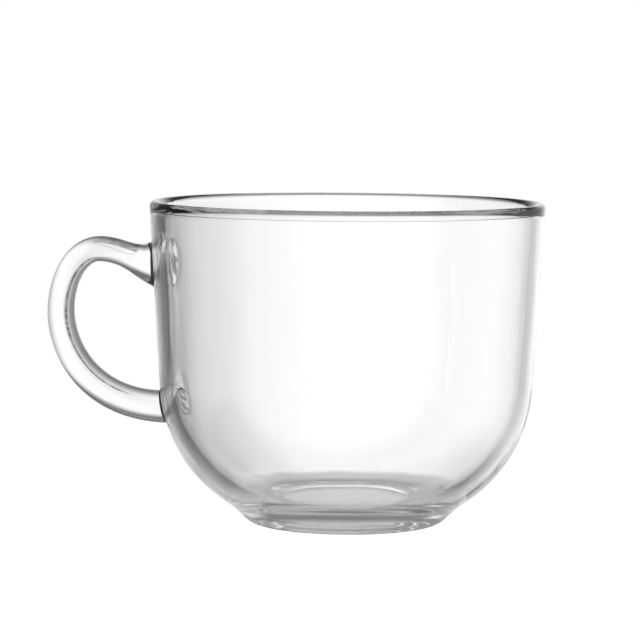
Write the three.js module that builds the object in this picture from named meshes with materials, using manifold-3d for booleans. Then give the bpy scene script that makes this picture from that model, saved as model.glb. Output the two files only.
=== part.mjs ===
// Glass coffee mug: a blown bowl on a low foot, and a pressed handle fused to its side at two pads.
// Millimetres, +Z up. The origin is on the table, under the middle of the mug's outer box.
// The handle points along -X, and the mug is the same on both sides of the XZ plane.
import * as THREE from 'three';
import { mergeVertices } from 'three/addons/utils/BufferGeometryUtils.js';
import Module from 'manifold-3d';

// Bowl, outside
const rimRadius = 54;
const mugHeight = 88.3;
const wallTaper = 3.4; // degrees that the wall leans out on its way up
const cheekRadius = 39.9; // the large round between the wall and the foot, in profile
const cheekEnd = 57.5; // degrees below level at which that round gives way to the foot
const footHeight = 5.95; // from the table up to the end of the round
const footHollow = 20; // radius of the hollow curve from the round into the foot's flank
const footHollowTurn = 11.5; // degrees that the hollow curve turns through
const footRounding = 6.5; // radius between the flank and the table
const footRingWidth = 1.6; // flat ring that the mug stands on
const recessDepth = 1.5; // from the table up to the flat middle of the underside
const recessBevel = 3.7; // soft step between the ring and that flat middle

// Bowl, inside
const wallThickness = 3.75;
const lipOuterWidth = 1.3; // from the outside of the rim in to the lip's highest line
const lipOuterHeight = 1.5; // how far down the lip's outer round reaches
const lipInnerHeight = 3.4; // how far down its inner round reaches
const floorHeight = 4.8; // from the table up to the inner floor
const innerCheekRadius = 35.5; // round between the inner wall and the floor
const swellingDepth = 1.2; // how far the inner wall is pushed in behind each pad
const swellingSpread = 0.5; // how much taller and wider than its pad a swelling is

// Handle
const handleStandOff = 28.85; // from the outside of the rim to the outside of the handle, unthickened
const handleThickness = 7; // in the plane of the handle
const handleWidth = 10.6; // across that plane
const handleSquareness = 2.1; // of its section: 2 is an ellipse, higher is squarer
const archRun = 15.4; // from the wall out to the crown of the arch
const archRise = 3.5; // from the middle of the upper pad up to the crown
const archDrop = 17.35; // from the crown down to where the handle stands furthest out
const upperPadDrop = 17.4; // from the rim down to the middle of the upper pad
const upperPadTall = 13.7;
const upperPadWide = 12.5;
const upperFlare = 10; // length over which the handle thickens to the upper pad
const lowerPadHeight = 31.1; // from the table up to the middle of the lower pad
const lowerPadTall = 9.2;
const lowerPadWide = 11.5;
const lowerFlare = 73; // the same to the lower pad, which reaches round the outer side
const archStartEase = 5.3; // how long the arm leaves the wall nearly level
const archEndEase = 5.9; // how long it levels out before the crown
const sideEase = 10; // how long the outer side stays upright below its furthest point
const lowerEase = 21.5; // how long the lower arm runs level into its pad
const seamClearance = 0.3; // between the handle's ends and the bowl

// Fineness of the facets
const turnSegments = 64;
const lipSteps = 8;
const bevelSteps = 4;
const handleSteps = 48;
const sectionSides = 20;

const glass = { color: 0xf2f5f4, roughness: 0.03, metalness: 0, transparent: true, opacity: 0.35 };

const degrees = THREE.MathUtils.degToRad;

// A point at an angle on a circle, where 0 points outward and -90 points down.
function onCircle(centre, radius, angle) {
  const turn = degrees(angle);
  return new THREE.Vector2(centre.x + radius * Math.cos(turn), centre.y + radius * Math.sin(turn));
}

function arc(centre, radius, from, to, steps) {
  const points = [];
  for (let i = 0; i <= steps; i += 1) {
    points.push(onCircle(centre, radius, from + ((to - from) * i) / steps));
  }
  return points;
}

// The bowl in profile: x is the distance from the bowl's axis, y the height.
const leanOut = Math.cos(degrees(wallTaper));
const leanUp = Math.sin(degrees(wallTaper));
const acrossWall = new THREE.Vector2(leanOut, -leanUp);
const alongWall = new THREE.Vector2(leanUp, leanOut);
const lipBulge = Math.hypot(lipOuterWidth * leanOut, lipOuterHeight * leanUp);
const lipTop = new THREE.Vector2(rimRadius - lipBulge + lipOuterHeight * leanUp, mugHeight);

// A point on the lip, which is two quarter ellipses that meet at its highest line.
// 0 degrees is on the outer wall, 90 is on top and 180 is on the inner wall.
function onLip(angle) {
  const turn = degrees(angle);
  const width = angle < 90 ? lipOuterWidth : wallThickness - lipOuterWidth;
  const height = angle < 90 ? lipOuterHeight : lipInnerHeight;
  return lipTop.clone()
    .addScaledVector(acrossWall, width * Math.cos(turn))
    .addScaledVector(alongWall, -height * (1 - Math.sin(turn)));
}

// How far the outer wall's line stands from the middle, square to the wall.
const wallReach = acrossWall.dot(lipTop) + lipOuterWidth;

// The centre of a round of this radius, at this height, that touches a line at this reach.
function roundCentre(reach, radius, height) {
  return new THREE.Vector2((reach - radius + leanUp * height) / leanOut, height);
}

const cheekHeight = footHeight + cheekRadius * Math.sin(degrees(cheekEnd));
const cheekCentre = roundCentre(wallReach, cheekRadius, cheekHeight);
const innerReach = wallReach - wallThickness;
const innerCentre = roundCentre(innerReach, innerCheekRadius, floorHeight + innerCheekRadius);
const flankAngle = cheekEnd - footHollowTurn;
const hollowCentre = onCircle(cheekCentre, cheekRadius + footHollow, -cheekEnd);
const flankTop = onCircle(hollowCentre, footHollow, 180 - flankAngle);
// The rounding is limited by the height that the flank leaves for it.
const rounding = Math.min(footRounding, flankTop.y / (1 - Math.sin(degrees(flankAngle))));
const flankDrop = flankTop.y - rounding * (1 - Math.sin(degrees(flankAngle)));
const flankBottom = new THREE.Vector2(
  flankTop.x - flankDrop * Math.tan(degrees(flankAngle)),
  flankTop.y - flankDrop,
);
const roundingCentre = onCircle(flankBottom, rounding, 180 - flankAngle);

// The outer side from the table up to the wall, moved outward by grow.
function outerProfile(grow) {
  return [
    ...arc(roundingCentre, rounding + grow, -90, -flankAngle, 4),
    ...arc(hollowCentre, footHollow - grow, 180 - flankAngle, 180 - cheekEnd, 3),
    ...arc(cheekCentre, cheekRadius + grow, -cheekEnd, -wallTaper, 10).slice(1),
  ];
}

// The underside, from its flat middle down a soft step to the ring.
function recessProfile() {
  const ringInner = roundingCentre.x - footRingWidth;
  const points = [new THREE.Vector2(0, recessDepth)];
  for (let i = 0; i <= bevelSteps; i += 1) {
    const share = i / bevelSteps;
    const rise = (1 + Math.cos(Math.PI * share)) / 2;
    points.push(new THREE.Vector2(ringInner - recessBevel * (1 - share), recessDepth * rise));
  }
  return points;
}

function lipProfile() {
  const points = [];
  for (let i = 0; i <= lipSteps; i += 1) points.push(onLip((180 * i) / lipSteps));
  return points;
}

const bowlProfile = [
  ...recessProfile(),
  ...outerProfile(0),
  ...lipProfile(),
  ...arc(innerCentre, innerCheekRadius, -wallTaper, -90, 11),
  new THREE.Vector2(0, floorHeight),
];

// The outer wall's distance from the bowl's axis at a height above the foot.
function outerRadiusAt(height) {
  const wall = (wallReach + leanUp * height) / leanOut;
  const below = cheekCentre.y - height;
  if (below < cheekRadius * leanUp) return wall;
  return cheekCentre.x + Math.sqrt(cheekRadius ** 2 - below ** 2);
}

// The inner wall's distance from the axis, and how far below level the wall faces, in degrees.
function innerWallAt(height) {
  const below = innerCentre.y - height;
  if (below < innerCheekRadius * leanUp) {
    return { radius: (innerReach + leanUp * height) / leanOut, faces: wallTaper };
  }
  return {
    radius: innerCentre.x + Math.sqrt(innerCheekRadius ** 2 - below ** 2),
    faces: THREE.MathUtils.radToDeg(Math.asin(below / innerCheekRadius)),
  };
}

const library = await Module();
library.setup();

function toSolid(geometry) {
  const bare = geometry.clone();
  bare.deleteAttribute('normal');
  bare.deleteAttribute('uv');
  const merged = mergeVertices(bare);
  const corners = merged.index.array;
  const triangles = [];
  for (let i = 0; i < corners.length; i += 3) {
    const [a, b, c] = corners.slice(i, i + 3);
    if (a !== b && b !== c && c !== a) triangles.push(a, b, c);
  }
  return new library.Manifold(new library.Mesh({
    numProp: 3,
    vertProperties: new Float32Array(merged.attributes.position.array),
    triVerts: new Uint32Array(triangles),
  }));
}

function toGeometry(solid) {
  const { vertProperties, triVerts } = solid.getMesh();
  const geometry = new THREE.BufferGeometry();
  geometry.setAttribute('position', new THREE.BufferAttribute(vertProperties, 3));
  geometry.setIndex(new THREE.BufferAttribute(triVerts, 1));
  geometry.computeVertexNormals();
  return geometry;
}

// A profile turned about +Z.
function turned(profile) {
  return new THREE.LatheGeometry(profile, turnSegments).rotateX(Math.PI / 2);
}

// A shallow swelling of the inner wall, behind a pad of this height and size.
function swelling(height, tall, wide) {
  const middle = height + wallThickness * Math.sin(degrees(innerWallAt(height).faces));
  const { radius, faces } = innerWallAt(middle);
  const blob = new THREE.SphereGeometry(1, 24, 16);
  blob.scale(swellingDepth, wide / 2 + swellingSpread, tall / 2 + swellingSpread);
  blob.rotateY(degrees(-faces));
  blob.translate(-radius, 0, middle);
  return toSolid(blob);
}

const upperPadHeight = mugHeight - upperPadDrop;

function makeBowl() {
  return toSolid(turned(bowlProfile))
    .add(swelling(upperPadHeight, upperPadTall, upperPadWide))
    .add(swelling(lowerPadHeight, lowerPadTall, lowerPadWide));
}

// The handle's middle line, from inside the wall at the upper pad round to inside it at the lower pad.
function handlePath() {
  const at = (out, up) => new THREE.Vector3(-out, 0, up);
  const upperWall = outerRadiusAt(upperPadHeight);
  const lowerWall = outerRadiusAt(lowerPadHeight);
  const crownOut = upperWall + archRun;
  const crownUp = upperPadHeight + archRise;
  const sideOut = rimRadius + handleStandOff - handleThickness / 2;
  const sideUp = crownUp - archDrop;
  const quarter = (4 / 3) * Math.tan(Math.PI / 8); // a quarter ellipse as one cubic curve
  const path = new THREE.CurvePath();
  path.add(new THREE.LineCurve3(
    at(upperWall - wallThickness, upperPadHeight),
    at(upperWall, upperPadHeight),
  ));
  path.add(new THREE.CubicBezierCurve3(
    at(upperWall, upperPadHeight),
    at(upperWall + archStartEase, upperPadHeight),
    at(crownOut - archEndEase, crownUp),
    at(crownOut, crownUp),
  ));
  path.add(new THREE.CubicBezierCurve3(
    at(crownOut, crownUp),
    at(crownOut + quarter * (sideOut - crownOut), crownUp),
    at(sideOut, sideUp + quarter * archDrop),
    at(sideOut, sideUp),
  ));
  path.add(new THREE.CubicBezierCurve3(
    at(sideOut, sideUp),
    at(sideOut, sideUp - sideEase),
    at(lowerWall + lowerEase, lowerPadHeight),
    at(lowerWall, lowerPadHeight),
  ));
  path.add(new THREE.LineCurve3(
    at(lowerWall, lowerPadHeight),
    at(lowerWall - wallThickness, lowerPadHeight),
  ));
  return path;
}

// How much of a pad's extra size is left at a distance from the wall.
function flareAt(distance, flareLength) {
  return THREE.MathUtils.clamp(1 - distance / flareLength, 0, 1) ** 2;
}

// One coordinate of the handle's section, as a share of its half size.
function squared(share) {
  return Math.sign(share) * Math.abs(share) ** (2 / handleSquareness);
}

function handleBlank() {
  const path = handlePath();
  const length = path.getLength();
  const positions = [];
  for (let i = 0; i <= handleSteps; i += 1) {
    const share = i / handleSteps;
    const fromUpper = Math.max(share * length - wallThickness, 0);
    const fromLower = Math.max((1 - share) * length - wallThickness, 0);
    const upper = flareAt(fromUpper, upperFlare);
    const lower = flareAt(fromLower, lowerFlare);
    const thick = handleThickness
      + (upperPadTall - handleThickness) * upper
      + (lowerPadTall - handleThickness) * lower;
    const wide = handleWidth + (upperPadWide - handleWidth) * upper + (lowerPadWide - handleWidth) * lower;
    const middle = path.getPointAt(share);
    const along = path.getTangentAt(share);
    const outward = new THREE.Vector3(along.z, 0, -along.x);
    for (let j = 0; j < sectionSides; j += 1) {
      const turn = (2 * Math.PI * j) / sectionSides;
      const point = middle.clone().addScaledVector(outward, (thick / 2) * squared(Math.cos(turn)));
      positions.push(point.x, (wide / 2) * squared(Math.sin(turn)), point.z);
    }
  }
  const corners = [];
  for (let i = 0; i < handleSteps; i += 1) {
    for (let j = 0; j < sectionSides; j += 1) {
      const a = i * sectionSides + j;
      const b = i * sectionSides + ((j + 1) % sectionSides);
      corners.push(a, b, b + sectionSides, a, b + sectionSides, a + sectionSides);
    }
  }
  const last = handleSteps * sectionSides;
  for (let j = 1; j < sectionSides - 1; j += 1) {
    corners.push(0, j + 1, j, last, last + j, last + j + 1);
  }
  const blank = new THREE.BufferGeometry();
  blank.setAttribute('position', new THREE.Float32BufferAttribute(positions, 3));
  blank.setIndex(corners);
  return blank;
}

function makeHandle() {
  const bottom = new THREE.Vector2(0, -seamClearance);
  const wallTop = new THREE.Vector2(outerRadiusAt(mugHeight) + seamClearance / leanOut, mugHeight);
  const top = new THREE.Vector2(0, mugHeight);
  const grownBowl = toSolid(turned([bottom, ...outerProfile(seamClearance), wallTop, top]));
  return toSolid(handleBlank()).subtract(grownBowl);
}

function piece(name, solid) {
  const mesh = new THREE.Mesh(toGeometry(solid), new THREE.MeshStandardMaterial(glass));
  mesh.name = name;
  return mesh;
}

const mug = new THREE.Group();
mug.add(piece('bowl', makeBowl()), piece('handle', makeHandle()));
// The handle reaches further from the bowl's axis than the rim does, so the bowl stands off centre.
const reach = new THREE.Box3().setFromObject(mug);
mug.position.x = -(reach.min.x + reach.max.x) / 2;

export default mug;
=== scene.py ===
# %% [markdown]
# # A clear glass coffee mug
# The mug is two pieces of soda-lime glass. One gob was pressed and blown into the bowl. A second
# gob was pressed into a bar, bent into a C and pushed on as the handle while both were still hot.
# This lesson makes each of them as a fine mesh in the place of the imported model's coarse one,
# gives them glass, and sets them in a plain white studio.

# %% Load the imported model
import math

import bpy
import numpy as np
from mathutils import Euler, Matrix, Vector


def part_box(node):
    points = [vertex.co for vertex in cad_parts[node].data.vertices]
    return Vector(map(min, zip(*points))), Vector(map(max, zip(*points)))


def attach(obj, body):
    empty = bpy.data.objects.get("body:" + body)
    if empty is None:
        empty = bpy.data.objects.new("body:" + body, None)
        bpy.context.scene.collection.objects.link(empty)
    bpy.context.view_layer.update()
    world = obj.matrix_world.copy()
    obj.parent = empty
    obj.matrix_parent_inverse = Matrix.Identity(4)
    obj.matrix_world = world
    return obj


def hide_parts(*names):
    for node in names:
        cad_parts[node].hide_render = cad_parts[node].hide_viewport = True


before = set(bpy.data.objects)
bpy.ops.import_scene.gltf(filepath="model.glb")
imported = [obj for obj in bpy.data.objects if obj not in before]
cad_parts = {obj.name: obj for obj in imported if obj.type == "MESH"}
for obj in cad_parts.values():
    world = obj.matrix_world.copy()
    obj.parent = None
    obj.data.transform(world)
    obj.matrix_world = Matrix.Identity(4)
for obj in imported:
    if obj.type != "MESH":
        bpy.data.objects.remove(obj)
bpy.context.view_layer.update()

# %% [markdown]
# ## Sizes
# Blender works in metres and the sizes of a mug are easier to read in millimetres, so every
# length is written as a number times `MM`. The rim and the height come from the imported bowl, so
# that the fine mesh fills the same space. What a box can't tell, such as the wall, is stated
# where it is used.

# %% Rim and height
MM = 0.001
bowl_low, bowl_high = (Vector(corner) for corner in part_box("bowl"))
AXIS_X = (bowl_low.x + bowl_high.x) / 2
RIM_RADIUS = (bowl_high.x - bowl_low.x) / 2
MUG_HEIGHT = bowl_high.z
print(f"rim {2 * RIM_RADIUS / MM:.1f} mm across, mug {MUG_HEIGHT / MM:.1f} mm high")

# %% [markdown]
# ## The bowl's profile
# A bowl that was blown in a turning mould is round, so one half profile says everything. It could
# be drawn with a curve object and spun, but plain arcs in numpy keep every radius a number that
# can be read. An arc is given by its centre and the angles where it starts and ends: 0 degrees
# points outward and -90 points down. A straight stretch needs only the points between two arcs.

# %% Arcs in profile
DOWN, UP, BACK = -math.pi / 2, math.pi / 2, math.pi


def on_circle(centre, radius, angle):
    return np.array([centre[0] + radius * math.cos(angle), centre[1] + radius * math.sin(angle)])


def arc(centre, radius, start, end, steps):
    return [on_circle(centre, radius, a) for a in np.linspace(start, end, steps + 1)]


def straight(start, end, steps):
    return [start + (end - start) * t for t in np.linspace(0, 1, steps + 1)[1:-1]]


# %% [markdown]
# The wall is straight and leans out a little. Its lip was melted round with a flame after the rim
# was cut. Glass that melts pulls itself into a bead, so the lip is two quarter ellipses that meet
# at its highest line: a short one on the outside and a long one on the inside.

# %% The leaning wall and its lip
WALL, WALL_TAPER = 3.75 * MM, math.radians(3.4)
LIP_OUTER_WIDTH, LIP_OUTER_HEIGHT, LIP_INNER_HEIGHT = 1.3 * MM, 1.5 * MM, 3.4 * MM
LEAN_OUT, LEAN_UP = math.cos(WALL_TAPER), math.sin(WALL_TAPER)
across_wall, along_wall = np.array([LEAN_OUT, -LEAN_UP]), np.array([LEAN_UP, LEAN_OUT])
lip_bulge = math.hypot(LIP_OUTER_WIDTH * LEAN_OUT, LIP_OUTER_HEIGHT * LEAN_UP)
lip_top = np.array([RIM_RADIUS - lip_bulge + LIP_OUTER_HEIGHT * LEAN_UP, MUG_HEIGHT])
wall_reach = across_wall @ lip_top + LIP_OUTER_WIDTH


def on_lip(angle):
    outer = angle < UP
    width = LIP_OUTER_WIDTH if outer else WALL - LIP_OUTER_WIDTH
    height = LIP_OUTER_HEIGHT if outer else LIP_INNER_HEIGHT
    fall = along_wall * height * (1 - math.sin(angle))
    return lip_top + across_wall * width * math.cos(angle) - fall


print(f"wall {WALL / MM:.2f} mm thick, lip highest at a radius of {lip_top[0] / MM:.1f} mm")

# %% [markdown]
# Below the wall the bowl turns in with one large round, here called the cheek. A hollow leads
# from it to the flank of the foot, whose lower edge is rounded too. Inside, a second large round
# leads from the wall to the floor. Each arc goes on in the direction in which its neighbour ends,
# so each centre follows from the one before it, and nothing has to be trimmed.

# %% Centres of the rounds
CHEEK_RADIUS, CHEEK_END = 39.9 * MM, math.radians(57.5)
INNER_CHEEK_RADIUS, FLOOR_HEIGHT = 35.5 * MM, 4.8 * MM
FOOT_HEIGHT, FOOT_ROUNDING, FOOT_RING_WIDTH = 5.95 * MM, 6.5 * MM, 1.6 * MM
FOOT_HOLLOW, FOOT_HOLLOW_TURN = 20 * MM, math.radians(11.5)


def round_centre(reach, radius, height):
    return np.array([(reach - radius + LEAN_UP * height) / LEAN_OUT, height])


cheek_height = FOOT_HEIGHT + CHEEK_RADIUS * math.sin(CHEEK_END)
cheek_centre = round_centre(wall_reach, CHEEK_RADIUS, cheek_height)
inner_height = FLOOR_HEIGHT + INNER_CHEEK_RADIUS
inner_centre = round_centre(wall_reach - WALL, INNER_CHEEK_RADIUS, inner_height)
flank_angle = CHEEK_END - FOOT_HOLLOW_TURN
hollow_centre = on_circle(cheek_centre, CHEEK_RADIUS + FOOT_HOLLOW, -CHEEK_END)
flank_top = on_circle(hollow_centre, FOOT_HOLLOW, BACK - flank_angle)
flank_drop = flank_top[1] - FOOT_ROUNDING * (1 - math.sin(flank_angle))
flank_bottom = flank_top - flank_drop * np.array([math.tan(flank_angle), 1])
rounding_centre = on_circle(flank_bottom, FOOT_ROUNDING, BACK - flank_angle)
ring_outer = rounding_centre[0]
ring_inner = ring_outer - FOOT_RING_WIDTH
print(f"foot ring {2 * ring_inner / MM:.1f} to {2 * ring_outer / MM:.1f} mm across")

# %% [markdown]
# The mug stands on the ring of its foot. The middle of the underside is set up a little, with a
# soft bevel round it. A fine line runs round the outside just under the lip, where the mould for
# the bowl met the one for the rim. It is a groove of a fifth of a millimetre, so the wall needs
# more points there. The groove itself is cut later, because it isn't the same all the way round.

# %% The outside of the profile, from the middle of the underside up to the lip
RECESS_DEPTH, RECESS_BEVEL = 1.5 * MM, 3.7 * MM
LINE_BELOW_LIP, LINE_HALF_HEIGHT = 0.9 * MM, 0.22 * MM
UNDERSIDE_STEPS, BEVEL_STEPS, RING_STEPS, ROUNDING_STEPS = 10, 12, 3, 12
FLANK_STEPS, HOLLOW_STEPS, CHEEK_STEPS, WALL_STEPS = 3, 6, 36, 40
LINE_STEPS, ABOVE_LINE_STEPS = 10, 4
recess_radius = ring_inner - RECESS_BEVEL
recess_middle, recess_edge = np.array([0, RECESS_DEPTH]), np.array([recess_radius, RECESS_DEPTH])
bevel = [
    np.array([recess_radius + RECESS_BEVEL * t, RECESS_DEPTH * (1 + math.cos(math.pi * t)) / 2])
    for t in np.linspace(0, 1, BEVEL_STEPS + 1)
]
outer_bottom, outer_top = on_circle(cheek_centre, CHEEK_RADIUS, -WALL_TAPER), on_lip(0)
line_middle = outer_top - along_wall * LINE_BELOW_LIP
across_line = np.linspace(-1, 1, LINE_STEPS + 1)
mould_line = [line_middle + along_wall * LINE_HALF_HEIGHT * t for t in across_line]
below_line = [
    *straight(recess_middle, recess_edge, UNDERSIDE_STEPS),
    *bevel,
    *straight(np.array([ring_inner, 0]), np.array([ring_outer, 0]), RING_STEPS),
    *arc(rounding_centre, FOOT_ROUNDING, DOWN, -flank_angle, ROUNDING_STEPS),
    *straight(flank_bottom, flank_top, FLANK_STEPS),
    *arc(hollow_centre, FOOT_HOLLOW, BACK - flank_angle, BACK - CHEEK_END, HOLLOW_STEPS),
    *arc(cheek_centre, CHEEK_RADIUS, -CHEEK_END, -WALL_TAPER, CHEEK_STEPS)[1:],
    *straight(outer_bottom, mould_line[0], WALL_STEPS),
]
outside = [*below_line, *mould_line, *straight(mould_line[-1], outer_top, ABOVE_LINE_STEPS)]
line_rows = slice(len(below_line), len(below_line) + len(mould_line))
print(f"{len(outside)} points outside")

# %% [markdown]
# The profile goes on over the lip and down the inside to the middle of the floor. The inner wall
# has many steps, because swellings are raised on it next, and too few would give them corners.

# %% The lip and the inside of the profile
LIP_STEPS, INNER_WALL_STEPS, INNER_CHEEK_STEPS, FLOOR_STEPS = 28, 48, 44, 12
inner_top = on_lip(BACK)
inner_bottom = on_circle(inner_centre, INNER_CHEEK_RADIUS, -WALL_TAPER)
floor_edge = on_circle(inner_centre, INNER_CHEEK_RADIUS, DOWN)
floor_middle = np.array([0, FLOOR_HEIGHT])
lip = [on_lip(angle) for angle in np.linspace(0, BACK, LIP_STEPS + 1)]
inside = [
    *straight(inner_top, inner_bottom, INNER_WALL_STEPS),
    *arc(inner_centre, INNER_CHEEK_RADIUS, -WALL_TAPER, DOWN, INNER_CHEEK_STEPS),
    *straight(floor_edge, floor_middle, FLOOR_STEPS),
]
profile = np.array(outside + lip + inside)
inner_rows = slice(len(outside) + len(lip), len(profile))
print(f"{len(profile)} points in profile")

# %% [markdown]
# ## Swellings behind the pads
# When the hot handle was pushed on, the wall gave way a little, and each pad left a shallow
# swelling on the inside. It shows through the glass as a small lens. A boolean with two flattened
# balls would leave a hard edge, so the rings of the inner wall are moved inward by a smooth bump
# instead.

# %% Turn the profile and raise the swellings
TURN_SEGMENTS = 256
SWELLING_DEPTH, SWELLING_SPREAD = 1.2 * MM, 1.25
UPPER_PAD_DROP, UPPER_PAD_TALL, UPPER_PAD_WIDE = 17.4 * MM, 13.7 * MM, 12.5 * MM
LOWER_PAD_HEIGHT, LOWER_PAD_WIDE = 31.1 * MM, 11.5 * MM
LOWER_SWELLING_RISE, LOWER_SWELLING_TALL = 3 * MM, 12.4 * MM
UPPER_PAD_HEIGHT = MUG_HEIGHT - UPPER_PAD_DROP


def swelling(across, up, tall, wide):
    away = 2 * np.hypot(across / wide, up / tall) / SWELLING_SPREAD
    return SWELLING_DEPTH * np.clip(1 - away**2, 0, 1) ** 2


angles = np.linspace(0, 2 * math.pi, TURN_SEGMENTS, endpoint=False)
from_handle = np.angle(np.exp(1j * (angles - math.pi)))
ring_radius = np.repeat(profile[:, :1], TURN_SEGMENTS, axis=1)
ring_height = np.repeat(profile[:, 1:], TURN_SEGMENTS, axis=1)
for height, tall, wide in (
    (UPPER_PAD_HEIGHT, UPPER_PAD_TALL, UPPER_PAD_WIDE),
    (LOWER_PAD_HEIGHT + LOWER_SWELLING_RISE, LOWER_SWELLING_TALL, LOWER_PAD_WIDE),
):
    across = ring_radius[inner_rows] * from_handle
    ring_radius[inner_rows] -= swelling(across, ring_height[inner_rows] - height, tall, wide)
    print(f"swelling {SWELLING_DEPTH / MM:.1f} mm deep, {height / MM:.1f} mm above the table")

# %% [markdown]
# The groove of the mould line is one wave of a cosine. The flame that rounded the lip melted it
# away on the far side, where the photograph shows none, so its depth follows the angle round the
# bowl.

# %% Cut the mould line
LINE_DEPTH, LINE_FADE = 0.2 * MM, math.radians(30)
wave = (1 + np.cos(math.pi * across_line)) / 2
left_by_flame = np.clip(-np.sin(angles) / math.sin(LINE_FADE), 0, 1)
ring_radius[line_rows] -= LINE_DEPTH * wave[:, None] * left_by_flame
print(f"mould line up to {LINE_DEPTH / MM:.2f} mm deep")

# %% [markdown]
# ## From rings to a mesh
# Both pieces are stacks of rings. One helper joins neighbouring rings with quads, one closes an
# end with a fan of triangles round a middle point, and one makes the object. Faces that meet at a
# blunt angle are shaded as one smooth surface, as glass is.


# %% Helpers for rings
def ring_faces(rings, sides):
    faces = []
    for i in range(rings - 1):
        low, high = i * sides, (i + 1) * sides
        for j in range(sides):
            k = (j + 1) % sides
            faces.append((low + j, low + k, high + k, high + j))
    return faces


def fan(tip, ring_start, sides, flipped):
    faces = []
    for j in range(sides):
        k = (j + 1) % sides
        a, b = (k, j) if flipped else (j, k)
        faces.append((tip, ring_start + a, ring_start + b))
    return faces


def closed_stack(rings, sides):
    last = (rings - 1) * sides
    tip = rings * sides
    return ring_faces(rings, sides) + fan(tip, 0, sides, True) + fan(tip + 1, last, sides, False)


def mesh_piece(name, points, faces, sharp_angle):
    mesh = bpy.data.meshes.new(name)
    mesh.from_pydata([tuple(p) for p in points], [], faces)
    mesh.shade_smooth()
    mesh.set_sharp_from_angle(angle=sharp_angle)
    mesh.validate()
    piece = bpy.data.objects.new(name, mesh)
    bpy.context.scene.collection.objects.link(piece)
    print(f"{name}: {len(mesh.vertices)} points, {len(mesh.polygons)} faces")
    return piece


# %% [markdown]
# The bowl is the first piece.

# %% The bowl
BOWL_SHARP = math.radians(60)
points = np.stack(
    [AXIS_X + ring_radius * np.cos(angles), ring_radius * np.sin(angles), ring_height], axis=2
).reshape(-1, 3)
tips = np.array([[AXIS_X, 0, RECESS_DEPTH], [AXIS_X, 0, FLOOR_HEIGHT]])
bowl_faces = closed_stack(len(profile), TURN_SEGMENTS)
bowl = mesh_piece("bowl_glass", np.concatenate([points, tips]), bowl_faces, BOWL_SHARP)
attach(bowl, "root")
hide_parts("bowl")

# %% [markdown]
# ## The handle
# The handle was pressed as a bar and bent into a C while soft. Its middle line is three cubic
# curves, and its section is a rounded oblong that swells towards each pad. A curve object with a
# bevel could follow the line, but its ends would be flat, and these ends must fit the round wall.
# So each long line of the handle is cut just inside the wall, and a cap follows the wall between
# them. The small overlap stands for the fused joint: light crosses the two surfaces there without
# bending on the whole, as it does in one piece of glass, where a gap of air would throw it back.

# %% Middle line of the handle
HANDLE_STAND_OFF, HANDLE_THICK = 28.85 * MM, 7 * MM
ARCH_RUN, ARCH_RISE, ARCH_DROP = 15.4 * MM, 3.5 * MM, 17.35 * MM
ARCH_START_EASE, ARCH_END_EASE = 5.3 * MM, 5.9 * MM
SIDE_EASE, LOWER_EASE = 10 * MM, 21.5 * MM
QUARTER = 4 / 3 * math.tan(math.pi / 8)  # makes a quarter ellipse of one cubic curve
CURVE_STEPS = 400


def outer_radius(height):
    wall = (wall_reach + LEAN_UP * height) / LEAN_OUT
    below = cheek_centre[1] - height
    cheek = cheek_centre[0] + np.sqrt(np.maximum(CHEEK_RADIUS**2 - below**2, 0))
    return np.where(below < CHEEK_RADIUS * LEAN_UP, wall, cheek)


def cubic(*corners):
    a, b, c, d = (np.array(corner) for corner in corners)
    t = np.linspace(0, 1, CURVE_STEPS + 1)[1:, None]
    return (1 - t) ** 3 * a + 3 * (1 - t) ** 2 * t * b + 3 * (1 - t) * t**2 * c + t**3 * d


upper_wall = float(outer_radius(UPPER_PAD_HEIGHT))
lower_wall = float(outer_radius(LOWER_PAD_HEIGHT))
crown_out, crown_up = upper_wall + ARCH_RUN, UPPER_PAD_HEIGHT + ARCH_RISE
side_out = RIM_RADIUS + HANDLE_STAND_OFF - HANDLE_THICK / 2
side_up = crown_up - ARCH_DROP
upper_arm = cubic(
    (upper_wall, UPPER_PAD_HEIGHT),
    (upper_wall + ARCH_START_EASE, UPPER_PAD_HEIGHT),
    (crown_out - ARCH_END_EASE, crown_up),
    (crown_out, crown_up),
)
arch = cubic(
    (crown_out, crown_up),
    (crown_out + QUARTER * (side_out - crown_out), crown_up),
    (side_out, side_up + QUARTER * ARCH_DROP),
    (side_out, side_up),
)
lower_arm = cubic(
    (side_out, side_up),
    (side_out, side_up - SIDE_EASE),
    (lower_wall + LOWER_EASE, LOWER_PAD_HEIGHT),
    (lower_wall, LOWER_PAD_HEIGHT),
)
in_upper_wall = np.array([[upper_wall - WALL, UPPER_PAD_HEIGHT], [upper_wall, UPPER_PAD_HEIGHT]])
in_lower_wall = np.array([[lower_wall - WALL, LOWER_PAD_HEIGHT]])
line = np.concatenate([in_upper_wall, upper_arm, arch, lower_arm, in_lower_wall])
walked = np.concatenate([[0], np.cumsum(np.hypot(*np.diff(line, axis=0).T))])
length = walked[-1]
print(f"handle's middle line {length / MM:.1f} mm long")

# %% [markdown]
# The middle line is walked in even steps. The direction at each step is smoothed a little,
# because curves that meet have a jump in curvature, and glass would show it as a kink in the
# reflections.

# %% Even steps along the line
CUT_STEPS, SMOOTH_SPAN = 2400, 41
even = np.linspace(0, length, CUT_STEPS)
middle = np.stack([np.interp(even, walked, line[:, k]) for k in (0, 1)], axis=1)
along = np.gradient(middle, even, axis=0)
kernel = np.hanning(SMOOTH_SPAN) / np.hanning(SMOOTH_SPAN).sum()
padded = np.pad(along, ((SMOOTH_SPAN // 2, SMOOTH_SPAN // 2), (0, 0)), mode="edge")
along = np.stack([np.convolve(padded[:, k], kernel, mode="valid") for k in (0, 1)], axis=1)
along /= np.linalg.norm(along, axis=1)[:, None]
outward = np.stack([-along[:, 1], along[:, 0]], axis=1)
print(f"a step every {length / CUT_STEPS / MM:.3f} mm")

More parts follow.
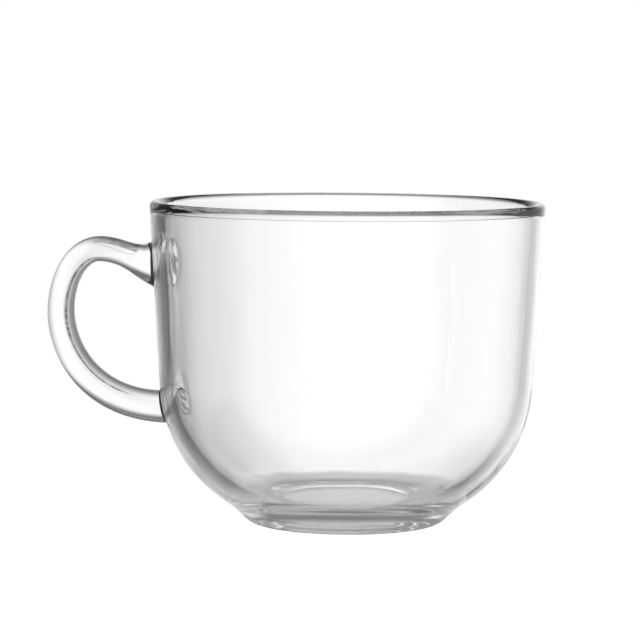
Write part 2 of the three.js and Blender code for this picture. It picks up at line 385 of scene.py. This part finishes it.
# %% [markdown]
# The section is a superellipse, which one exponent makes rounder or squarer. Soft glass that is
# pushed against a wall spreads, so the section grows towards both pads: quickly at the upper one,
# and over most of the lower arm.

# %% Section of the handle
HANDLE_WIDE, LOWER_PAD_TALL = 10.6 * MM, 9.2 * MM
UPPER_FLARE, LOWER_FLARE = 10 * MM, 73 * MM
SQUARENESS = 2.1  # 2 is an ellipse, higher is squarer


def sized(plain, upper, lower):
    near_upper = np.clip(1 - np.maximum(even - WALL, 0) / UPPER_FLARE, 0, 1) ** 2
    near_lower = np.clip(1 - np.maximum(length - even - WALL, 0) / LOWER_FLARE, 0, 1) ** 2
    return plain + (upper - plain) * near_upper + (lower - plain) * near_lower


half_thick = sized(HANDLE_THICK, UPPER_PAD_TALL, LOWER_PAD_TALL) / 2
half_wide = sized(HANDLE_WIDE, UPPER_PAD_WIDE, LOWER_PAD_WIDE) / 2


def section(turn):
    in_plane = np.abs(math.cos(turn) / half_thick) ** SQUARENESS
    sideways = np.abs(math.sin(turn) / half_wide) ** SQUARENESS
    return (in_plane + sideways) ** (-1 / SQUARENESS)


thinnest, thickest = 2 * half_thick.min() / MM, 2 * half_thick.max() / MM
print(f"section {thinnest:.1f} to {thickest:.1f} mm thick")

# %% [markdown]
# ## Marks of hand work on the handle
# Bending the stiffening bar squeezed its inner side, and the skin folded into a wrinkled crease
# along the side that faces us. The shears that cut the gob left a flat fold on top of the upper
# arm, with a fine looped line below it. Sculpting could make them, but a rule can be read and
# changed: each point gets a value from 0 to 1, called `crease`. The mesh is pressed in by it, and
# the glass below reads it for a painted shade there, along with haze and wrinkles. A turn round
# the section starts at the handle's outermost line and goes by way of the far side.

# %% Where the creases run
CREASE_TURN, CREASE_FULL = math.radians(239.5), 0.3
CREASE_THIN, CREASE_WIDE, CREASE_EDGE = 0.6 * MM, 1.5 * MM, 0.12 * MM
CREASE_START, CREASE_END = (13 * MM, 18 * MM), (7 * MM, 13 * MM)
CREASE_BULGE, CREASE_BULGE_SPREAD = 37 * MM, 14 * MM
FOLD_TURNS, FOLD_SHADE = (math.radians(292), math.radians(295)), 0.9
FOLD_TIP, FOLD_TAIL = (4.6 * MM, 5.6 * MM), (14 * MM, 20 * MM)
LOOP_TURN, LOOP_RISE, LOOP_SHADE = math.radians(279), math.radians(14), 0.5
LOOP_BEND, LOOP_SHORT, LOOP_LONG = 8.3 * MM, 3.2 * MM, 8.5 * MM
LOOP_HALF = (0.08 * MM, 0.25 * MM)


def ease(value, start, end):
    t = np.clip((value - start) / (end - start), 0, 1)
    return t * t * (3 - 2 * t)


def crease_at(turn, reach, walk):
    from_upper, from_lower = walk - WALL, length - walk - WALL
    bulge = np.exp(-(((from_upper - CREASE_BULGE) / CREASE_BULGE_SPREAD) ** 2))
    width = CREASE_THIN + (CREASE_WIDE - CREASE_THIN) * bulge
    inward = (CREASE_TURN - turn) * reach
    bend = ease(inward, -width, -CREASE_FULL * width) * (1 - ease(inward, 0, CREASE_EDGE))
    bend *= ease(from_upper, *CREASE_START) * ease(from_lower, *CREASE_END)
    fold = FOLD_SHADE * ease(turn, *FOLD_TURNS)
    fold *= ease(from_upper, *FOLD_TIP) * (1 - ease(from_upper, *FOLD_TAIL))
    from_bend = from_upper - LOOP_BEND
    climb = np.where(from_bend < 0, from_bend / LOOP_SHORT, from_bend / LOOP_LONG) ** 2
    off_loop = np.abs(turn - LOOP_TURN - LOOP_RISE * climb) * reach
    loop = LOOP_SHADE * (1 - ease(off_loop, *LOOP_HALF)) * (climb < 1)
    return np.maximum(np.maximum(bend, fold), loop)


print(f"crease {CREASE_THIN / MM:.1f} to {CREASE_WIDE / MM:.1f} mm wide")

# %% [markdown]
# Long lines run along the handle, evenly round the section. More of them run near the crease, the
# fold and the loop, so that sharp sides stay sharp there. The turns are in radians.

# %% Turns of the long lines
PLAIN_SIDES = 96
CREASE_SPAN, CREASE_LINES = (-0.06, 0.3), 16
BEFORE_LOOP, PAST_FOLD, LOOP_LINES = 0.04, 0.01, 26
plain_turns = np.linspace(0, 2 * math.pi, PLAIN_SIDES, endpoint=False)
near_crease = CREASE_TURN + np.linspace(*CREASE_SPAN, CREASE_LINES)
near_loop = np.linspace(LOOP_TURN - BEFORE_LOOP, FOLD_TURNS[1] + PAST_FOLD, LOOP_LINES)
turns = np.sort(np.concatenate([plain_turns, near_crease, near_loop]))
SIDES = len(turns)
print(f"{SIDES} long lines")

# %% [markdown]
# The ends of the handle are rounded by 0.7 mm before they meet the wall, as soft glass rounds
# itself. Each long line is therefore three runs of points: a quarter round, the length of the
# handle and a second quarter round. Points are drawn in towards the middle line by the round and
# by the crease.

# %% Long lines of the handle, cut at the wall
MAIN_STATIONS, END_STATIONS = 440, 10
OVERLAP, END_ROUNDING, CREASE_DEPTH = 0.3 * MM, 0.7 * MM, 0.05 * MM
quarter_turn = np.linspace(0, math.pi / 2, END_STATIONS, endpoint=False)
end_steps = END_ROUNDING * (1 - np.cos(quarter_turn))
end_insets = END_ROUNDING * (1 - np.sin(quarter_turn))
insets = np.concatenate([end_insets, np.zeros(MAIN_STATIONS), end_insets[::-1]])
lines = np.zeros((len(insets), SIDES, 3))
creases = np.zeros((len(insets), SIDES))
for j, turn in enumerate(turns):
    reach = section(turn)
    flat = middle + outward * (reach * math.cos(turn))[:, None]
    side = reach * math.sin(turn)
    clear = np.hypot(flat[:, 0], side) - outer_radius(flat[:, 1]) + OVERLAP
    outside_now = np.flatnonzero(clear > 0)
    first, last = outside_now[0], outside_now[-1]
    begin = np.interp(0, clear[first - 1 : first + 1], even[first - 1 : first + 1])
    finish = np.interp(0, clear[[last + 1, last]], even[[last + 1, last]])
    run = np.linspace(begin + END_ROUNDING, finish - END_ROUNDING, MAIN_STATIONS)
    stations = np.concatenate([begin + end_steps, run, (finish - end_steps)[::-1]])
    reach_here = np.interp(stations, even, reach)
    creases[:, j] = crease_at(turn, reach_here, stations)
    held = 1 - (insets + CREASE_DEPTH * creases[:, j]) / reach_here
    for axis, source, towards in ((0, flat[:, 0], middle[:, 0]), (2, flat[:, 1], middle[:, 1])):
        centre = np.interp(stations, even, towards)
        lines[:, j, axis] = centre + (np.interp(stations, even, source) - centre) * held
    lines[:, j, 1] = np.interp(stations, even, side) * held
print(f"{len(insets)} points on each line, {np.count_nonzero(creases)} of all in a crease")

# %% [markdown]
# A flat cap would leave gaps at the round wall or stick out through it. Each cap here is a set of
# shrinking copies of the handle's last ring, laid on the wall at the depth of the overlap.

# %% Caps that follow the wall, and the handle
CAP_RINGS = 10
HANDLE_SHARP = math.radians(50)


def cap(ring):
    centre = ring.mean(axis=0)
    rows = []
    for share in np.linspace(1, 0, CAP_RINGS + 1)[1:]:
        row = centre + (ring - centre) * share
        row[:, 0] = np.sqrt((outer_radius(row[:, 2]) - OVERLAP) ** 2 - row[:, 1] ** 2)
        rows.append(row)
    return np.array(rows[:-1]), rows[-1][:1]


upper_rows, upper_tip = cap(lines[0])
lower_rows, lower_tip = cap(lines[-1])
rows = np.concatenate([upper_rows[::-1], lines, lower_rows])
points = np.concatenate([rows.reshape(-1, 3), upper_tip, lower_tip])
points[:, 0] = AXIS_X - points[:, 0]
handle = mesh_piece("handle_glass", points, closed_stack(len(rows), SIDES), HANDLE_SHARP)
painted = np.zeros(len(points), dtype=np.float32)
cap_points = len(upper_rows) * SIDES
painted[cap_points : cap_points + creases.size] = creases.ravel()
handle.data.attributes.new("crease", "FLOAT", "POINT").data.foreach_set("value", painted)
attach(handle, "root")
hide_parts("handle")

# %% [markdown]
# ## Glass
# Soda-lime glass bends light with an index of about 1.52. It has almost no colour in walls this
# thin, only a little loss on long ways through the base, which an absorbing volume gives. One
# small helper adds a node, sets its properties and constants, and links its sockets.

# %% Helpers for materials
GLASS_IOR = 1.52
CLEAR, GLASS_TINT, GLASS_LOSS = "#ffffff", "#c0c0c0", 5.0


def linear(hex_colour):
    values = [int(hex_colour[i : i + 2], 16) / 255 for i in (1, 3, 5)]
    levels = [v / 12.92 if v <= 0.04045 else ((v + 0.055) / 1.055) ** 2.4 for v in values]
    return (*levels, 1.0)


def node(tree, kind, links=None, values=None, **settings):
    made = tree.nodes.new(kind)
    for key, value in settings.items():
        setattr(made, key, value)
    for socket, value in (values or {}).items():
        made.inputs[socket].default_value = value
    for socket, source in (links or {}).items():
        tree.links.new(source, made.inputs[socket])
    return made


def clear_glass(name):
    material = bpy.data.materials.new(name)
    material.use_nodes = True
    tree = material.node_tree
    shader = tree.nodes["Principled BSDF"]
    shader.inputs["Base Color"].default_value = linear(CLEAR)
    shader.inputs["IOR"].default_value = GLASS_IOR
    shader.inputs["Transmission Weight"].default_value = 1.0
    loss = {"Color": linear(GLASS_TINT), "Density": GLASS_LOSS}
    body = node(tree, "ShaderNodeVolumeAbsorption", values=loss)
    tree.links.new(body.outputs[0], tree.nodes["Material Output"].inputs["Volume"])
    print(f"{name}: index {GLASS_IOR}")
    return material, tree, shader


# %% [markdown]
# The bowl is blown glass. It froze while it was still moving, so its wall is not quite even:
# long, low waves stand upright in it, about 18 mm apart and a tenth of a millimetre high. The eye
# sees them as soft streaks in the grey of the wall. The flame left the skin smooth, with only a
# breath of haze.

# %% Blown glass
WAVE_LENGTH, WAVE_HEIGHT, WAVE_STRETCH, WAVE_DETAIL = 18 * MM, 0.1 * MM, 0.4, 2.0
BLOWN_HAZE = 0.012
blown, tree, shader = clear_glass("blown_soda_lime_glass")
on_object = node(tree, "ShaderNodeTexCoord").outputs["Object"]
drawn_out = node(tree, "ShaderNodeMapping", {"Vector": on_object}, {"Scale": (1, 1, WAVE_STRETCH)})
waves = node(
    tree,
    "ShaderNodeTexNoise",
    {"Vector": drawn_out.outputs[0]},
    {"Scale": 1 / WAVE_LENGTH, "Detail": WAVE_DETAIL},
)
rippled = node(tree, "ShaderNodeBump", {"Height": waves.outputs[0]}, {"Distance": WAVE_HEIGHT})
haze = node(tree, "ShaderNodeMapRange", {"Value": waves.outputs[0]}, {"To Max": BLOWN_HAZE})
tree.links.new(rippled.outputs[0], shader.inputs["Normal"])
tree.links.new(haze.outputs[0], shader.inputs["Roughness"])
bowl.data.materials.append(blown)

# %% [markdown]
# The handle is pressed glass. The cool iron of the mould chills the skin and leaves a faint
# orange peel, here 1.6 mm across. In the creases the skin is wrinkled across the fold, every
# millimetre or less, and light that meets it is thrown aside: against a white sheet a crease
# looks dark. The glass's colour is darkened there too, as painted shade. The value called
# `crease` decides where both happen.

# %% Patterns of the pressed glass
PEEL_LENGTH, PEEL_HEIGHT, PEEL_DETAIL = 1.6 * MM, 0.008 * MM, 1.0
WRINKLE_LENGTH, WRINKLE_HEIGHT, WRINKLE_DETAIL = 0.9 * MM, 0.06 * MM, 2.0
WRINKLE_STRETCH = (0.35, 0.35, 1.0)
WRINKLE_RANGE, WRINKLE_LEAST = (0.35, 0.6), 0.75
pressed, tree, shader = clear_glass("pressed_soda_lime_glass")
on_object = node(tree, "ShaderNodeTexCoord").outputs["Object"]
crease = node(tree, "ShaderNodeAttribute", attribute_name="crease").outputs["Fac"]
peel = node(
    tree,
    "ShaderNodeTexNoise",
    {"Vector": on_object},
    {"Scale": 1 / PEEL_LENGTH, "Detail": PEEL_DETAIL},
)
across_fold = node(tree, "ShaderNodeMapping", {"Vector": on_object}, {"Scale": WRINKLE_STRETCH})
wrinkles = node(
    tree,
    "ShaderNodeTexNoise",
    {"Vector": across_fold.outputs[0]},
    {"Scale": 1 / WRINKLE_LENGTH, "Detail": WRINKLE_DETAIL},
)
strength = node(
    tree,
    "ShaderNodeMapRange",
    {"Value": wrinkles.outputs[0]},
    {"From Min": WRINKLE_RANGE[0], "From Max": WRINKLE_RANGE[1], "To Min": WRINKLE_LEAST},
)
# where the painted shade and the extra haze go: the crease value, broken up by the wrinkles
crease_shade_and_haze = node(tree, "ShaderNodeMath", {0: crease, 1: strength.outputs[0]}, operation="MULTIPLY")

# %% [markdown]
# The same patterns then give the skin its painted shade, its haze and its bump. The peel lies
# under the wrinkles, so its bump is handed on to theirs as the normal to start from.

# %% Painted shade, haze and bump of the pressed glass
# painted shade: the glass in the crease, the fold and the loop is darkened towards this colour
CREASE_PAINTED_SHADE = "#202020"
CREASED_HAZE, PRESSED_HAZE = 0.25, 0.02
# painted shade in the crease, the fold and the loop, mixed into the glass's colour
painted_crease_shade = node(
    tree,
    "ShaderNodeMix",
    {0: crease_shade_and_haze.outputs[0]},
    {6: linear(CLEAR), 7: linear(CREASE_PAINTED_SHADE)},
    data_type="RGBA",
)
peeled = node(tree, "ShaderNodeBump", {"Height": peel.outputs[0]}, {"Distance": PEEL_HEIGHT})
wrinkled = node(
    tree,
    "ShaderNodeBump",
    {"Height": wrinkles.outputs[0], "Strength": crease, "Normal": peeled.outputs[0]},
    {"Distance": WRINKLE_HEIGHT},
)
skin = node(tree, "ShaderNodeMath", {0: peel.outputs[0]}, {1: PRESSED_HAZE}, operation="MULTIPLY")
dulled = node(
    tree,
    "ShaderNodeMath",
    {0: crease_shade_and_haze.outputs[0], 2: skin.outputs[0]},
    {1: CREASED_HAZE},
    operation="MULTIPLY_ADD",
)
# the painted shade becomes the colour of the handle's glass
tree.links.new(painted_crease_shade.outputs[2], shader.inputs["Base Color"])
tree.links.new(dulled.outputs[0], shader.inputs["Roughness"])
tree.links.new(wrinkled.outputs[0], shader.inputs["Normal"])
handle.data.materials.append(pressed)
print(f"{len(tree.nodes)} nodes in the pressed glass")

# %% [markdown]
# Where the handle was pressed on, the joint is given dark, hazy glass that lets little light
# through, so it is the one truly dark line on the mug. Both ends get this glass on their rounded
# rows and on two rows more, because the line is as wide as that in the photograph.

# %% The fused joint
JOINT_TINT, JOINT_CLEARNESS, JOINT_HAZE = "#101010", 0.15, (0.35, 0.6)
GRIT, GRIT_HEIGHT = 0.5 * MM, 0.02 * MM
ROWS_PAST_ROUNDING = 2
joint, tree, shader = clear_glass("fused_joint_glass")
shader.inputs["Base Color"].default_value = linear(JOINT_TINT)
shader.inputs["Transmission Weight"].default_value = JOINT_CLEARNESS
on_object = node(tree, "ShaderNodeTexCoord").outputs["Object"]
grit = node(tree, "ShaderNodeTexNoise", {"Vector": on_object}, {"Scale": 1 / GRIT})
haze = node(
    tree,
    "ShaderNodeMapRange",
    {"Value": grit.outputs[0]},
    {"To Min": JOINT_HAZE[0], "To Max": JOINT_HAZE[1]},
)
rough = node(tree, "ShaderNodeBump", {"Height": grit.outputs[0]}, {"Distance": GRIT_HEIGHT})
tree.links.new(haze.outputs[0], shader.inputs["Roughness"])
tree.links.new(rough.outputs[0], shader.inputs["Normal"])
handle.data.materials.append(joint)
joint_faces = 0
for face in handle.data.polygons:
    row = face.index // SIDES
    from_end = min(row, len(rows) - 2 - row) - len(upper_rows)
    if 0 <= from_end < END_STATIONS + ROWS_PAST_ROUNDING:
        face.material_index = 1
        joint_faces += 1
print(f"{joint_faces} faces of the joints")

# %% [markdown]
# ## A white studio
# Glass has no colour of its own: it shows what stands around it, bent. In an evenly white room
# the mug would vanish. Photographers put a white sheet behind it and let everything beside, above
# and below the sheet fall dark, and these dark places turn up as the outlines of the glass. Lamps
# on stands could do it, but a world that depends on the direction is smooth and free of noise.
# Light is let through many surfaces in turn, because a ray through the mug meets eight or more.

# %% World and bounces
GLASS_BOUNCES = 32
scene = bpy.context.scene
scene.view_settings.view_transform = "Standard"
scene.cycles.max_bounces = GLASS_BOUNCES
scene.cycles.transmission_bounces = GLASS_BOUNCES
scene.cycles.glossy_bounces = GLASS_BOUNCES
world = bpy.data.worlds.new("white_studio")
scene.world = world
world.use_nodes = True
print(f"{world.name}, light followed through {GLASS_BOUNCES} surfaces")

# %% [markdown]
# The levels go round the mug: 0 degrees is straight behind it, and positive angles are to the
# left. A dark card stands far out on the left and a grey one on the right. The whole ring is set
# askew by the angle from which the photograph was taken, and stays there for any other view.

# %% Light round the mug
CAMERA_SWING = math.radians(6)
BRIGHTEST = 1.15
LEVELS = [
    (-180, 1.15), (-110, 1.15), (-62, 1.0), (-46, 0.55), (-38, 0.6), (-30, 0.6), (-24, 0.85),
    (-17, 1.12), (-8, 1.1), (-4, 1.0), (1.5, 1.0), (3, 0.92), (4.8, 0.87), (7, 0.8), (12, 0.66),
    (16, 0.5), (22, 0.27), (36, 0.14), (104, 0.14), (122, 1.1), (180, 1.15),
]
tree = world.node_tree
tree.nodes.clear()
direction = node(tree, "ShaderNodeTexCoord").outputs["Generated"]
turned = node(
    tree,
    "ShaderNodeVectorRotate",
    {"Vector": direction},
    {"Angle": -CAMERA_SWING},
    rotation_type="Z_AXIS",
)
parts = node(tree, "ShaderNodeSeparateXYZ", {"Vector": turned.outputs[0]})
right, behind, up = (parts.outputs[name] for name in "XYZ")
left = node(tree, "ShaderNodeMath", {0: right}, {1: -1.0}, operation="MULTIPLY").outputs[0]
bearing = node(tree, "ShaderNodeMath", {0: left, 1: behind}, operation="ARCTAN2").outputs[0]
whole_turn = {"From Min": -math.pi, "From Max": math.pi}
turn_share = node(tree, "ShaderNodeMapRange", {"Value": bearing}, whole_turn)
ramp = node(tree, "ShaderNodeValToRGB", {"Fac": turn_share.outputs[0]})
elements = ramp.color_ramp.elements
elements.remove(elements[-1])
for i, (angle, level) in enumerate(LEVELS):
    stop = elements[0] if i == 0 else elements.new((angle + 180) / 360)
    stop.color = (level / BRIGHTEST, level / BRIGHTEST, level / BRIGHTEST, 1)
ramp_level = ramp.outputs["Color"]
sheet = node(tree, "ShaderNodeMath", {0: ramp_level}, {1: BRIGHTEST}, operation="MULTIPLY")
print(f"{len(LEVELS)} levels round the mug")

# %% [markdown]
# Below and above the sheet it is dark too, but only on the far side of the mug. Straight below it
# is white again, as a table is. Each band has a level and the heights between which it fades in,
# where 0 is level with the mug, 1 is straight up and -1 is straight down. What the camera sees
# directly stays pure white.

# %% Dark below and above the sheet
BANDS = [(0.18, -0.35, -0.65), (0.9, -0.72, -0.86), (0.15, 0.18, 0.4)]
FAR_SIDE = (-0.2, 0.2)
far_side = node(
    tree,
    "ShaderNodeMapRange",
    {"Value": behind},
    {"From Min": FAR_SIDE[0], "From Max": FAR_SIDE[1]},
    interpolation_type="SMOOTHSTEP",
)
shown = sheet.outputs[0]
for level, start, end in BANDS:
    band = node(
        tree,
        "ShaderNodeMapRange",
        {"Value": up},
        {"From Min": start, "From Max": end},
        interpolation_type="SMOOTHSTEP",
    )
    both = {0: band.outputs[0], 1: far_side.outputs[0]}
    mask = node(tree, "ShaderNodeMath", both, operation="MULTIPLY")
    shown = node(tree, "ShaderNodeMix", {0: mask.outputs[0], 2: shown}, {3: level}).outputs[0]
path = node(tree, "ShaderNodeLightPath")
seen = node(tree, "ShaderNodeMix", {0: path.outputs["Is Camera Ray"], 2: shown}, {3: 1.0})
white = {"Color": linear("#ffffff")}
light = node(tree, "ShaderNodeBackground", {"Strength": seen.outputs[0]}, white)
node(tree, "ShaderNodeOutputWorld", {"Surface": light.outputs[0]})
print(f"{len(BANDS)} bands below and above")

# %% [markdown]
# ## The floor
# The mug stands on white card that runs on into the sheet, so the card fades out before its edge.
# A plane would do, and a disc fades evenly on all sides. It lies a hair below the foot, because
# two surfaces in one place would flicker.

# %% Floor
FLOOR_RADIUS, FLOOR_GAP, FLOOR_SIDES = 400 * MM, 0.2 * MM, 128
bpy.ops.mesh.primitive_circle_add(
    vertices=FLOOR_SIDES, radius=FLOOR_RADIUS, fill_type="NGON", location=(AXIS_X, 0, -FLOOR_GAP)
)
floor = bpy.context.object
floor.name = "studio_floor"
print(f"floor {2 * FLOOR_RADIUS:.1f} m across")

# %% [markdown]
# The card glows a little by itself, which keeps it white for the camera, and its paint takes the
# mug's soft shadow. Through the thick base the glass shows the card right under the foot, and
# there its glow is set low, darkest under the foot's ring, as a painted shadow of the foot: hardly
# any light would get between the foot's ring and the card. The reaches are in millimetres from the
# mug's middle.

# %% White card
CAMERA_FADE, GLASS_FADE = (200 * MM, 380 * MM), (26 * MM, 42 * MM)
CARD_WHITE, CARD_GLOW = "#a0a0a0", 0.97
UNDER_FOOT_REACH = 50 * MM
# painted shadow: how brightly the card glows for the glass, darkest under the foot's ring
PAINTED_FOOT_SHADOW = [(0, 0.35), (17, 0.35), (21, 0.1), (25, 0.1), (31, 0.5)]
card = bpy.data.materials.new("white_card")
card.use_nodes = True
tree = card.node_tree
tree.nodes.clear()
on_card = node(tree, "ShaderNodeTexCoord").outputs["Object"]
away = node(tree, "ShaderNodeVectorMath", {0: on_card}, operation="LENGTH").outputs["Value"]
fades = [
    node(
        tree,
        "ShaderNodeMapRange",
        {"Value": away},
        {"From Min": start, "From Max": end},
        interpolation_type="SMOOTHSTEP",
    ).outputs[0]
    for start, end in (GLASS_FADE, CAMERA_FADE)
]
from_camera = node(tree, "ShaderNodeLightPath").outputs["Is Camera Ray"]
cleared = node(tree, "ShaderNodeMix", {0: from_camera, 2: fades[0], 3: fades[1]})
reach_share = node(tree, "ShaderNodeMapRange", {"Value": away}, {"From Max": UNDER_FOOT_REACH})
# the painted shadow under the foot, seen only through the glass
foot_shadow_ramp = node(tree, "ShaderNodeValToRGB", {"Fac": reach_share.outputs[0]})
elements = foot_shadow_ramp.color_ramp.elements
elements.remove(elements[-1])
for i, (reach, level) in enumerate(PAINTED_FOOT_SHADOW):
    stop = elements[0] if i == 0 else elements.new(reach * MM / UNDER_FOOT_REACH)
    stop.color = (level, level, level, 1)
glowing = node(tree, "ShaderNodeMix", {0: from_camera, 2: foot_shadow_ramp.outputs[0]}, {3: CARD_GLOW})
paint = node(tree, "ShaderNodeBsdfDiffuse", values={"Color": linear(CARD_WHITE)})
glow = node(tree, "ShaderNodeEmission", {"Strength": glowing.outputs[0]})
lit = node(tree, "ShaderNodeAddShader", {0: paint.outputs[0], 1: glow.outputs[0]})
nothing = node(tree, "ShaderNodeBsdfTransparent")
mixed = {0: cleared.outputs[0], 1: lit.outputs[0], 2: nothing.outputs[0]}
faded = node(tree, "ShaderNodeMixShader", mixed)
node(tree, "ShaderNodeOutputMaterial", {"Surface": faded.outputs[0]})
floor.data.materials.append(card)
print(f"{len(PAINTED_FOOT_SHADOW)} levels under the foot")

# %% [markdown]
# ## The camera
# The photograph was taken from nearly a metre away with a long lens, a little above the rim and
# from slightly right of square to the handle. The long lens keeps the mug's sides almost
# parallel. The numbers come from the outline: the ellipse of the rim gives the height, the handle
# gives the swing.

# %% Camera
CAMERA_DISTANCE, CAMERA_HEIGHT = 921.8 * MM, 133 * MM
CAMERA_PITCH, CAMERA_ROLL = math.radians(4.79), math.radians(0.45)
IMAGE_SIDE, AXIS_PIXEL_X, FOCAL_PIXELS = 640, 346.7, 3378
SENSOR_WIDTH = 36
camera_data = bpy.data.cameras.new("photo_camera")
camera_data.sensor_width = SENSOR_WIDTH
camera_data.lens = SENSOR_WIDTH * FOCAL_PIXELS / IMAGE_SIDE
camera = bpy.data.objects.new("photo_camera", camera_data)
scene.collection.objects.link(camera)
yaw = math.atan((AXIS_PIXEL_X - IMAGE_SIDE / 2) / FOCAL_PIXELS)
camera.location = (
    AXIS_X + CAMERA_DISTANCE * math.sin(CAMERA_SWING),
    -CAMERA_DISTANCE * math.cos(CAMERA_SWING),
    CAMERA_HEIGHT,
)
upright = Euler((math.pi / 2 - CAMERA_PITCH, 0, CAMERA_SWING + yaw)).to_matrix()
camera.rotation_euler = (upright @ Matrix.Rotation(CAMERA_ROLL, 3, "Z")).to_euler()
scene.camera = camera
print(f"lens {camera_data.lens:.0f} mm")
